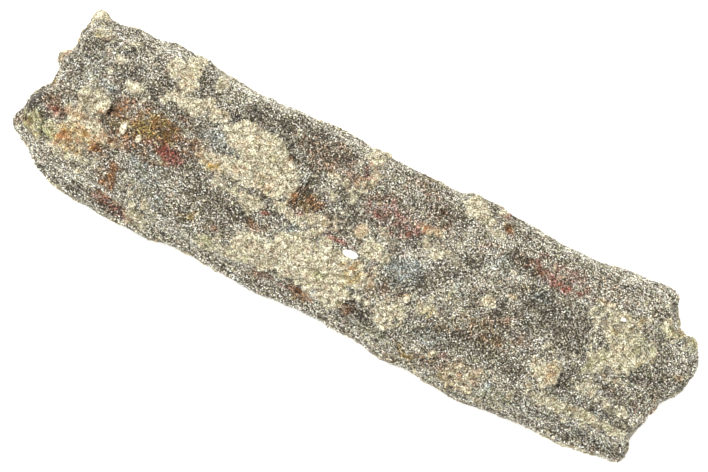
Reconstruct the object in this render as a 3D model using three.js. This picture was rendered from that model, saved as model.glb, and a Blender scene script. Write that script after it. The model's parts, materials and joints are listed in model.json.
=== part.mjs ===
// A broken length of petrified wood, lying on its split underside.
// Millimetres. X runs along the grain, Y across it and Z up. The origin is the centre of the
// bounding box's lowest face, so the stone rests on the plane Z = 0.
import * as THREE from "three";
import { ImprovedNoise } from "three/addons/math/ImprovedNoise.js";
import { mergeVertices } from "three/addons/utils/BufferGeometryUtils.js";

const THICKNESS = 27; // from the bearing patch to the crest of the top
const HALF_WIDTH = 23; // from the axis to a long edge, where the girth's points are spaced out
const RUBBED_OFF = 1.5; // how much of the underside's high spots the bearing patch has lost
const RIM_ROUNDING = 2.2; // between the long faces and the broken ends
const CREST_AT = 12; // along the grain
const CREST_FALL = 0.00034; // how fast the top falls away from its crest, per mm squared
const SWELL = { height: 0.5, span: 17 }; // the slow rise and fall of the top along the grain

// The weathered skin: the depth of each set of lumps, the lumps' size across the grain and how
// many times longer they are along it.
const WEATHERING = [
  { axis: "x", depth: 0.35, size: 9, stretch: 1.6, seed: 31 },
  { axis: "y", depth: 0.45, size: 8, stretch: 3, seed: 47 },
  { axis: "z", depth: 0.75, size: 9, stretch: 3.2, seed: 5 },
  { axis: "z", depth: 0.4, size: 5, stretch: 1.3, seed: 71 },
];

// The broken ends: the foot of each stands further out than its top edge, by `lean`.
const LEFT_BREAK = { outwards: -1, lean: 2.2, leanSwing: 0 };
const RIGHT_BREAK = { outwards: 1, lean: 1.6, leanSwing: 0.8 };
const SWING_SPAN = 2.5; // how slowly the lean swings from one side of the right break to the other
const BREAK_FOOT = 0.22; // the share of the thickness at which a break leans out fully
const BREAK_BROW = 0.62; // and the share above which it stands upright
const LAYERS = { depth: 0.35, up: 0.75, across: 0.3, stray: 2.4 }; // growth layers that snapped
const BREAK_LUMPS = { depth: 0.6, size: 8, seed: 13 };

const LENGTH_STEPS = 68; // stations along the grain
const GIRTH_STEPS = 52; // points round each station
const END_RINGS = 7; // rings from a broken end's rim to its middle
const WIDEST_AT = -0.15; // up the girth, where the long faces stand furthest out
const BUMP_BAND = 0.6; // how far above and below that the bumps of the long edges reach
const BREAK_SHARE = 0.02; // how far in from each end, as a share of the length, a break is felt
const MERGE_WITHIN = 1e-3; // points this near are one vertex

// The plan outline, seen from above, as four runs that meet at its corners.
const LOWER_EDGE = [
  [-91.6, -12.2], [-88, -14.2], [-85, -16.1], [-82, -18.3], [-79, -20.2], [-75.5, -21.9],
  [-70, -22.3], [-60, -22.8], [-48, -23.2], [-37, -22.3], [-19.5, -23.1], [-13, -22.6],
  [-1, -22.4], [5, -23], [10, -22.9], [19.5, -24.2], [26, -23.6], [33, -24.5], [39.5, -25.2],
  [46, -24.2], [56, -23.1], [67, -22.9], [76, -22], [81, -21.2], [84.4, -20.1],
];
const UPPER_EDGE = [
  [-84.5, 22.5], [-80, 22.1], [-76, 22.4], [-72, 23.6], [-66.5, 23], [-62, 24.4], [-58.5, 23.6],
  [-54, 23.9], [-50, 22.5], [-46, 22.5], [-40, 21.3], [-35, 21.5], [-26, 22.9], [-22.5, 22.5],
  [-18, 23.4], [-13, 23.1], [-6, 22.3], [3, 22.4], [11, 22.6], [17.5, 22.3], [20.5, 24],
  [28.5, 23.9], [31.5, 23.2], [40, 22.9], [44, 22.2], [56, 22.4], [61, 23.4], [70, 24.2],
  [76.3, 24.9],
];
const LEFT_END = [
  [-91.6, -12.2], [-90.6, -8.5], [-89.3, -5], [-88.4, -2], [-86.8, 1], [-86.9, 4.5],
  [-87.6, 8.2], [-86.4, 10.4], [-85.3, 12], [-85.9, 15], [-85.5, 18], [-84.5, 22.5],
];
const RIGHT_END = [
  [84.4, -20.1], [83.9, -16.5], [83.3, -13], [84.3, -9], [85.2, -5], [86.3, -2], [88.2, 0.5],
  [89.7, 3.2], [90.5, 6.5], [90.2, 9.5], [89, 12.4], [87.2, 14.6], [84.9, 15.6], [83, 16.4],
  [81.8, 18], [80, 20.4], [78.7, 23.1], [76.3, 24.9],
];

// Every so many points of a long edge give its sweep, with the small bumps left out. Above and
// below the widest part of the girth, a long face follows the sweep, a little further in.
const LOWER_SWEEP_EVERY = 6;
const UPPER_SWEEP_EVERY = 7;
const SWEEP_INSET = 1.5;

// The girth, looking along +X: [across, up], each from -1 to 1. The side at -1 leans out below.
const GIRTH = [
  [1, 0.05], [0.985, 0.45], [0.92, 0.76], [0.74, 0.93], [0.35, 1], [-0.25, 1], [-0.66, 0.94],
  [-0.84, 0.78], [-0.93, 0.42], [-0.99, 0], [-1, -0.34], [-0.92, -0.7], [-0.72, -0.92],
  [-0.3, -1], [0.3, -1], [0.7, -0.93], [0.9, -0.66], [0.97, -0.3],
];

const perlin = new ImprovedNoise();

// Noise of about -1 to 1. Its lumps are `size` across the grain and `stretch` times that along it,
// and `seed` picks one of many.
function lumps(point, { size, stretch = 1, seed }) {
  const fullRange = 1.6;
  const along = point.x / (size * stretch) + seed;
  return fullRange * perlin.noise(along, point.y / size + seed, point.z / size);
}

function outlineRun(corners) {
  return new THREE.SplineCurve(corners.map(([x, y]) => new THREE.Vector2(x, y)));
}

function sweepOf(corners, every) {
  const kept = corners.filter((corner, index) => index % every === 0);
  return outlineRun(kept.map(([x, y]) => [x, y - Math.sign(y) * SWEEP_INSET]));
}

const lowerEdge = outlineRun(LOWER_EDGE);
const upperEdge = outlineRun(UPPER_EDGE);
const lowerSweep = sweepOf(LOWER_EDGE, LOWER_SWEEP_EVERY);
const upperSweep = sweepOf(UPPER_EDGE, UPPER_SWEEP_EVERY);
const leftEnd = outlineRun(LEFT_END);
const rightEnd = outlineRun(RIGHT_END);

// A point of the plan: `along` and `across` run from 0 to 1, and the outline's four runs bound it.
// The long edges' bumps show at the widest part of the girth, where `bumps` is 1.
function planPoint(along, across, bumps) {
  const lower = lowerSweep.getPointAt(along).lerp(lowerEdge.getPointAt(along), bumps);
  const upper = upperSweep.getPointAt(along).lerp(upperEdge.getPointAt(along), bumps);
  const ends = leftEnd.getPointAt(across).lerp(rightEnd.getPointAt(across), along);
  const lowerCorners = lowerEdge.getPoint(0).lerp(lowerEdge.getPoint(1), along);
  const upperCorners = upperEdge.getPoint(0).lerp(upperEdge.getPoint(1), along);
  return lower.lerp(upper, across).add(ends).sub(lowerCorners.lerp(upperCorners, across));
}

// The stations from the middle of one end to the middle of the other, as [along, spread]:
// `spread` is 0 on the axis of an end and 1 on the long faces.
function stations() {
  const length = upperEdge.getLength();
  const rim = RIM_ROUNDING / length;
  const rimSpread = 1 - (2 * RIM_ROUNDING) / THICKNESS;
  const end = [];
  for (let ring = 0; ring <= END_RINGS; ring++) {
    end.push([0, (rimSpread * ring) / END_RINGS]);
  }
  for (const turn of [Math.PI / 6, Math.PI / 3]) {
    end.push([rim * (1 - Math.cos(turn)), rimSpread + (1 - rimSpread) * Math.sin(turn)]);
  }
  const middle = [];
  for (let step = 0; step <= LENGTH_STEPS; step++) {
    middle.push([rim + (1 - 2 * rim) * (step / LENGTH_STEPS), 1]);
  }
  const otherEnd = end.map(([along, spread]) => [1 - along, spread]).reverse();
  return [...end, ...middle, ...otherEnd];
}

// The general level of the top: it is highest near the middle and falls towards both ends.
function topLevel(x) {
  return THICKNESS - CREST_FALL * (x - CREST_AT) ** 2 + SWELL.height * Math.sin(x / SWELL.span);
}

// Long ridges and hollows of the grain, and shorter lumps where the crust is thick.
function weather(point) {
  const moves = new THREE.Vector3();
  for (const skin of WEATHERING) {
    moves[skin.axis] += skin.depth * lumps(point, skin);
  }
  return point.add(moves);
}

// How far a broken end stands back from the plan: it leans out below, where the split followed the
// grain, and steps in and out from one growth layer to the next.
function endRelief(point, side) {
  const reach = (BREAK_BROW - BREAK_FOOT) * THICKNESS;
  const below = THREE.MathUtils.clamp((BREAK_BROW * THICKNESS - point.z) / reach, 0, 1);
  const roughness = lumps(point, BREAK_LUMPS);
  const lean = (side.lean + side.leanSwing * Math.sin(point.y / SWING_SPAN)) * (below - 1);
  const phase = LAYERS.up * point.z + LAYERS.across * point.y + LAYERS.stray * roughness;
  const layers = LAYERS.depth * (Math.sin(phase) - 1);
  return side.outwards * (lean + layers + BREAK_LUMPS.depth * roughness);
}

// One vertex of the stone, from its station and its place round the girth.
function surfacePoint([along, spread], girth) {
  const across = THREE.MathUtils.clamp((1 + girth.x * spread) / 2, 0, 1);
  const bumps = 1 - THREE.MathUtils.smoothstep(Math.abs(girth.y - WIDEST_AT), BUMP_BAND / 3, BUMP_BAND);
  const plan = planPoint(along, across, bumps);
  const height = THREE.MathUtils.lerp(-RUBBED_OFF, topLevel(plan.x), (1 + girth.y * spread) / 2);
  const point = new THREE.Vector3(plan.x, plan.y, height);
  const fromMiddle = Math.abs(along - 0.5);
  const endShare = THREE.MathUtils.smoothstep(fromMiddle, 0.5 - BREAK_SHARE, 0.5);
  point.x += endShare * endRelief(point, along < 0.5 ? LEFT_BREAK : RIGHT_BREAK);
  weather(point);
  point.z = Math.max(point.z, 0);
  return point;
}

function stone() {
  const profile = stations();
  const girthCurve = new THREE.CatmullRomCurve3(
    GIRTH.map(([across, up]) => new THREE.Vector3(across * HALF_WIDTH, (up * THICKNESS) / 2, 0)),
    true,
    "centripetal",
  );
  // A lathe gives the skin's faces: its points are then moved from round the axis to the stone.
  const skin = new THREE.LatheGeometry(
    profile.map(([along, spread]) => new THREE.Vector2(spread, along)),
    GIRTH_STEPS,
  );
  const positions = skin.getAttribute("position");
  for (let turn = 0; turn <= GIRTH_STEPS; turn++) {
    const place = girthCurve.getPointAt((turn % GIRTH_STEPS) / GIRTH_STEPS);
    const girth = new THREE.Vector2(place.x / HALF_WIDTH, (2 * place.y) / THICKNESS);
    profile.forEach((station, index) => {
      const point = surfacePoint(station, girth);
      positions.setXYZ(turn * profile.length + index, point.x, point.y, point.z);
    });
  }
  skin.deleteAttribute("normal");
  skin.deleteAttribute("uv");
  const closed = mergeVertices(skin, MERGE_WITHIN);
  closed.computeBoundingBox();
  const middle = closed.boundingBox.getCenter(new THREE.Vector3());
  closed.translate(-middle.x, -middle.y, 0);
  closed.computeVertexNormals();
  return closed;
}

const stoneMaterial = new THREE.MeshStandardMaterial({
  color: 0xa69d89,
  roughness: 0.6,
  metalness: 0,
});

const limbSection = new THREE.Mesh(stone(), stoneMaterial);
limbSection.name = "petrified_wood";

const part = new THREE.Group();
part.add(limbSection);

export default part;
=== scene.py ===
# Petrified wood section: the stone, its crust and its coat of fine quartz, on a pale studio floor.
import json
import math

import bpy
import numpy as np
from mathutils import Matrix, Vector, noise

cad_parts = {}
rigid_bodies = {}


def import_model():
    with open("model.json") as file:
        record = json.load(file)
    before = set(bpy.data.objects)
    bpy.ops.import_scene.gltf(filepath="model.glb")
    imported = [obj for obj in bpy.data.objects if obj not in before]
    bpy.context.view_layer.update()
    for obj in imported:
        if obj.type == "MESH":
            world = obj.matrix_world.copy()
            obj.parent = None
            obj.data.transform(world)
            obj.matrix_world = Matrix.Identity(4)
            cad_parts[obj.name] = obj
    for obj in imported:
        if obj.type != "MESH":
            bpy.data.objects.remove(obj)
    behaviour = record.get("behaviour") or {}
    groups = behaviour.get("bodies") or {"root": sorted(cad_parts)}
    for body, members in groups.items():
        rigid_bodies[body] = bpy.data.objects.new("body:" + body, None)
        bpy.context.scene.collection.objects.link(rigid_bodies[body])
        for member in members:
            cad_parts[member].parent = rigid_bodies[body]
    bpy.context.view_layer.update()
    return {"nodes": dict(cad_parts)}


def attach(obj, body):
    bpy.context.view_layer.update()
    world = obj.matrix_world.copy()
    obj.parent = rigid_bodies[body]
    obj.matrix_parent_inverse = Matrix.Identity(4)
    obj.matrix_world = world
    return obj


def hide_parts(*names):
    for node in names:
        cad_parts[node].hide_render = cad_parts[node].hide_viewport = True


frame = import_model()
mm = 0.001


def pick(*pieces):  # only these are selected, and the first is active
    bpy.ops.object.select_all(action="DESELECT")
    for piece in pieces:
        piece.select_set(True)
    bpy.context.view_layer.objects.active = pieces[0]


def shapeWith(piece, kind, **settings):  # one modifier, applied
    pick(piece)
    step = piece.modifiers.new(kind.title(), kind)
    for name, value in settings.items():
        setattr(step, name, value)
    bpy.ops.object.modifier_apply(modifier=step.name)


def copyOf(original, name):  # with a mesh of its own and none of the frame's tags
    pick(original)
    bpy.ops.object.duplicate()
    piece = bpy.context.object
    piece.name = name
    piece.parent = None
    for tag in [tag for tag in piece.keys() if tag.startswith("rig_")]:
        del piece[tag]
    return piece


def editAll():  # of the active mesh
    bpy.ops.object.mode_set(mode="EDIT")
    bpy.ops.mesh.select_all(action="SELECT")


def endEdit():
    bpy.ops.object.mode_set(mode="OBJECT")


def readWhole(items, name):  # one whole number from each
    values = np.empty(len(items), np.int32)
    items.foreach_get(name, values)
    return values


def readPlaces(items, name="co"):
    places = np.empty(len(items) * 3, np.float32)
    items.foreach_get(name, places)
    return places.reshape(-1, 3)


def paint(piece, name, values):
    layer = piece.data.attributes.new(name, "FLOAT", "POINT")
    layer.data.foreach_set("value", values.astype(np.float32))


def coverWith(piece, material):
    piece.data.materials.clear()
    piece.data.materials.append(material)


def smoothStep(value, low, high):
    share = np.clip((value - low) / (high - low), 0, 1)
    return share * share * (3 - 2 * share)


class Wire:
    # a socket of a node tree, so that sums read as sums; without a socket it is the tree itself
    def __init__(self, tree, socket=None):
        self.tree = tree
        self.socket = socket

    def node(self, kind, settings=None, inputs=None, out=0):
        made = self.tree.nodes.new(kind)
        for name, value in (settings or {}).items():
            if name == "stops":
                ramp = made.color_ramp
                while len(ramp.elements) < len(value):
                    ramp.elements.new(1)
                for stop, (place, colour) in zip(ramp.elements, value):
                    stop.position = place
                    stop.color = colour
            else:
                setattr(made, name, value)
        for name, value in (inputs or {}).items():
            if isinstance(value, Wire):
                self.tree.links.new(value.socket, made.inputs[name])
            else:
                made.inputs[name].default_value = value
        return Wire(self.tree, made.outputs[out]) if made.outputs else made

    def maths(self, operation, *values):
        return self.node("ShaderNodeMath", {"operation": operation}, dict(enumerate(values)))

    def __add__(self, other):
        return self.maths("ADD", self, other)

    def __sub__(self, other):
        return self.maths("SUBTRACT", self, other)

    def __rsub__(self, other):
        return self.maths("SUBTRACT", other, self)

    def __mul__(self, other):
        return self.maths("MULTIPLY", self, other)

    def __pow__(self, other):
        return self.maths("POWER", self, other)

    __radd__ = __add__
    __rmul__ = __mul__


def srgb(red, green, blue):  # screen colour, 0 to 255, as Blender's linear colour
    shares = [((c / 255 + 0.055) / 1.055) ** 2.4 if c > 10 else c / 3295 for c in (red, green, blue)]
    return (*shares, 1)


white = (1, 1, 1, 1)
studio = {
    "turn": math.radians(26.67),  # of the view against the grain
    "aim": (-1.54 * mm, 0.66 * mm, 13 * mm),
    "wide": 177 * mm,  # what the view takes in at the aim
    "distance": 1.1,
    "sensor": 36,
    "sight": 50,  # how far the camera sees
    "sky": 0.92,
    "keyPower": 7.2,
    "keySize": 0.25,
    "keyDistance": 0.9,
    "keyHeight": math.radians(68),
    "keyFrom": math.radians(-40),  # clockwise from the view's top
    "floorSize": 6,
    "floor": {
        "Base Color": srgb(240, 240, 239), "Roughness": 0.9, "Specular IOR Level": 0.1,
        "Emission Color": white, "Emission Strength": 0.5},
}


def setStudio(look):
    scene = bpy.context.scene
    scene.view_settings.view_transform = "Standard"
    aim = Vector(look["aim"])
    lens = bpy.data.cameras.new("camera")
    lens.sensor_width = look["sensor"]
    lens.lens = look["sensor"] * look["distance"] / look["wide"]
    lens.clip_end = look["sight"]
    camera = bpy.data.objects.new("camera", lens)
    camera.location = aim + Vector((0, 0, look["distance"]))
    camera.rotation_euler = (0, 0, look["turn"])
    scene.collection.objects.link(camera)
    scene.camera = camera

    world = bpy.data.worlds.new("softbox")
    world.use_nodes = True
    sky = world.node_tree.nodes["Background"].inputs
    sky["Strength"].default_value = look["sky"]
    sky["Color"].default_value = white
    scene.world = world

    lamp = bpy.data.lights.new("keyLamp", "AREA")
    lamp.shape = "DISK"
    lamp.size = look["keySize"]
    lamp.energy = look["keyPower"]
    key = bpy.data.objects.new("keyLamp", lamp)
    bearing = look["turn"] + math.pi / 2 - look["keyFrom"]
    flat = math.cos(look["keyHeight"])
    towards = Vector((flat * math.cos(bearing), flat * math.sin(bearing), math.sin(look["keyHeight"])))
    key.location = aim + towards * look["keyDistance"]
    key.rotation_euler = towards.to_track_quat("Z", "Y").to_euler()
    scene.collection.objects.link(key)

    bpy.ops.mesh.primitive_plane_add(size=look["floorSize"])
    floor = bpy.context.object
    floor.name = "floor"
    paper = bpy.data.materials.new("floorPaper")
    paper.use_nodes = True
    for name, value in look["floor"].items():
        paper.node_tree.nodes["Principled BSDF"].inputs[name].default_value = value
    floor.data.materials.append(paper)
    print("studio set")


# what lies where on top: patches as (along, across, half length, half width, strength), in mm,
# with a turn in degrees at the end where a patch lies aslant
crustPatches = [
    (-83, 21.3, 2, 1.9, 1), (-80.5, 16.7, 2, 1, 0.8), (-72.5, 18.7, 2.6, 0.8, 0.8, 25),
    (-73.3, 13.9, 1.6, 1.3, 0.95), (-74.8, 10.5, 0.8, 3, 0.7, 5), (-76.5, 6.5, 1, 2, 0.5),
    (-66.9, 9.3, 2.1, 1.4, 0.95, -10), (-60.3, 18.2, 2.9, 2.6, 0.9, 10), (-64, 16.5, 2, 1.2, 0.5),
    (-55.8, 18.5, 2.4, 6, 1, 8), (-56.5, 11.5, 3.2, 1.8, 0.9, -5), (-59, 10, 1.6, 1.6, 0.6),
    (-51.5, 11.5, 2.6, 2.6, 0.8, -50), (-49, 14.2, 2, 1.5, 0.65), (-45, 12.6, 2.6, 1.9, 0.95),
    (-48.3, 19.8, 1.8, 2.2, 0.9), (-44.5, 10.5, 3, 1.6, 0.5), (-73.3, 1.8, 2.5, 3.2, 1.1),
    (-77.2, 1.3, 1.7, 2.7, 0.95), (-77.5, -3, 3.4, 1.8, 0.68), (-73, -5.5, 6, 3, 0.74, -5),
    (-76, -11.5, 5.5, 3.6, 0.68), (-70, -11, 4, 3, 0.42), (-84.5, -10.3, 6, 2.8, 0.55, -15),
    (-71, -16.2, 1.3, 0.8, 0.9, 20), (-56.5, -14.8, 1.9, 1.1, 0.85), (-52, -15.6, 1.5, 1.3, 0.7),
    (-54, -19.5, 1.7, 3, 0.9), (-50.5, -19, 2, 1.5, 0.5), (-32.6, 11.1, 7.6, 3.6, 1, -8),
    (-38.5, 9.6, 4.2, 3, 0.85), (-20.8, 4, 2, 3.4, 1), (-27, 5.5, 8.5, 5.5, 1, -12),
    (-34, 2.2, 7.5, 3, 0.78), (-30, -3, 7, 1.9, 0.66, -3), (-38, -2.4, 3, 1.5, 0.64),
    (-42, 1.2, 4.6, 2.4, 0.74), (-28.3, -4.4, 1.8, 1.8, 0.8), (-26, 18, 1.4, 1.2, 0.5),
    (-41, 7.5, 0.9, 0.9, 0.9), (-21, -1, 2.4, 1.2, 0.75), (-17.5, -1.6, 2.4, 1.1, 0.75, -15),
    (-14.5, -2.6, 2, 1, 0.7, -20), (-11.3, 0.5, 3, 1.5, 0.8, -5), (-8.5, -3, 5, 2, 0.68),
    (-12.8, -0.6, 3.4, 1.5, 0.7), (-65, -6, 3, 1.6, 0.56), (-12.5, 11.6, 2.2, 1.2, 0.65),
    (-10, 11.5, 4, 1.4, 0.42), (-20.5, -13.3, 8, 4, 1, 4), (-12, -8.5, 7.5, 3.8, 0.82),
    (-9, -13.5, 9, 3.4, 0.85), (-17.5, -7, 1.6, 1.8, 0.95), (-1, -8, 7, 4.6, 0.8), (0, -15, 5, 3, 0.9),
    (-26, -15, 3.4, 3, 0.68), (-33.5, -17, 3.4, 2, 0.7), (-28, -16.8, 3, 1.6, 0.7),
    (5, -7.5, 3.4, 3.4, 0.62), (-5, 20.5, 2.6, 3, 0.9, -15), (-3.6, 15.5, 1.6, 2.6, 0.7, 15),
    (-4.8, 12.5, 1.4, 1, 0.6), (-0.5, 2.2, 2, 2.4, 0.75), (4, -0.8, 3, 2.8, 0.8), (8, -1.6, 2.6, 1.6, 0.7),
    (4.8, 5, 1.4, 2, 0.8, 25), (7.5, -5.5, 1.6, 2.4, 0.6), (6.6, -12.6, 1.2, 1, 0.9),
    (8.9, -12.8, 1.1, 0.9, 0.8), (15, -12.4, 4.2, 4.2, 0.64), (17.3, -7.6, 1.1, 1.1, 1),
    (15.3, 6.6, 1.3, 1.1, 0.9), (18.6, 6, 1.9, 1.7, 0.95), (21.5, 7.2, 1.8, 0.9, 0.85),
    (24, 5.9, 1.8, 0.8, 0.8, -20), (16, 10.6, 3.2, 1.8, 0.62), (22, 10.5, 2.4, 2.2, 0.45),
    (23, -5, 1.4, 1.4, 0.7), (23, -7.6, 3.4, 1.4, 0.8, -5), (25.2, -2.6, 1, 0.9, 0.7),
    (28, -1, 2.4, 2.4, 0.42), (22.6, 20, 3.2, 2.8, 0.8, -5), (26, 19.5, 2.4, 2, 0.7),
    (29.8, 22.8, 1.6, 1, 0.8), (30.5, 17, 3, 1.1, 0.85), (35.4, 1.1, 1.5, 1.5, 0.95),
    (40, 4.8, 1.4, 0.9, 0.6), (29, -16.4, 2.2, 0.9, 0.8, 25), (38, -18.6, 5.4, 3.6, 0.58),
    (42, -16, 3, 1.6, 0.5), (62.5, 11, 3, 3, 0.6), (63.5, 3, 1.8, 2.2, 0.5), (-11, 7.5, 2.6, 1.6, 0.45),
    (-81, -6.5, 3.4, 2, 0.42), (14.5, 10.3, 3.4, 1.6, 0.7), (-79, -9.5, 4.5, 3.4, 0.68),
    (-79.5, 17.6, 4, 1.6, 0.65), (-6, 11, 2, 4, 0.56), (-7, 2, 2.2, 3.6, 0.48), (52.5, 13, 3, 1.8, 0.44),
    (76, 7, 4, 3.6, 0.62), (78.5, 16, 2.2, 2, 0.62), (12, -3.5, 2, 1.2, 0.42), (7.5, 3.4, 2.6, 1.2, 0.55),
    (72, -16.4, 8, 0.9, 0.42, 2), (76, -8.6, 5, 2.4, 0.58), (-52, -20.4, 3, 2, 0.75),
    (-18, -17, 4, 1.2, 0.45), (51, -18, 1.2, 1.2, 0.7), (53.5, -2.2, 1.4, 1, 0.7), (57, -8, 3.2, 4, 0.85),
    (57, -3.5, 3, 2, 0.5), (54.8, -13.5, 1.3, 4, 0.62, 35), (53, -7, 1.8, 2, 0.6),
    (63, 13.3, 3.4, 1.6, 0.6), (68, 12.1, 1.8, 1.2, 1), (70, 9, 6, 4.5, 0.68), (67, 0.5, 2.4, 5, 0.7),
    (72, 3.5, 4.2, 4.2, 0.9), (66.8, 0, 1.6, 5, 0.7, -25), (64.5, 8.5, 2.6, 2.6, 0.5),
    (73, 14.5, 3.6, 1.4, 0.6, 35), (81, 14.8, 3.2, 1.3, 0.72, 10), (85.6, 15, 2.4, 1.4, 1.2, -20),
    (66, 11.6, 5, 2.2, 0.66), (79, 10, 6, 4, 0.36), (67, -7, 4, 2.4, 0.64), (73.5, -3, 2.8, 0.8, 0.7),
    (72, -8.5, 5, 1.4, 0.5), (61.5, -14.4, 6.5, 1.6, 0.86, 3), (73, -13.9, 9.5, 1.6, 0.86, -1),
    (66.6, -17, 1.4, 1.3, 0.7), (48, -15, 4, 2, 0.42),
]
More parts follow.
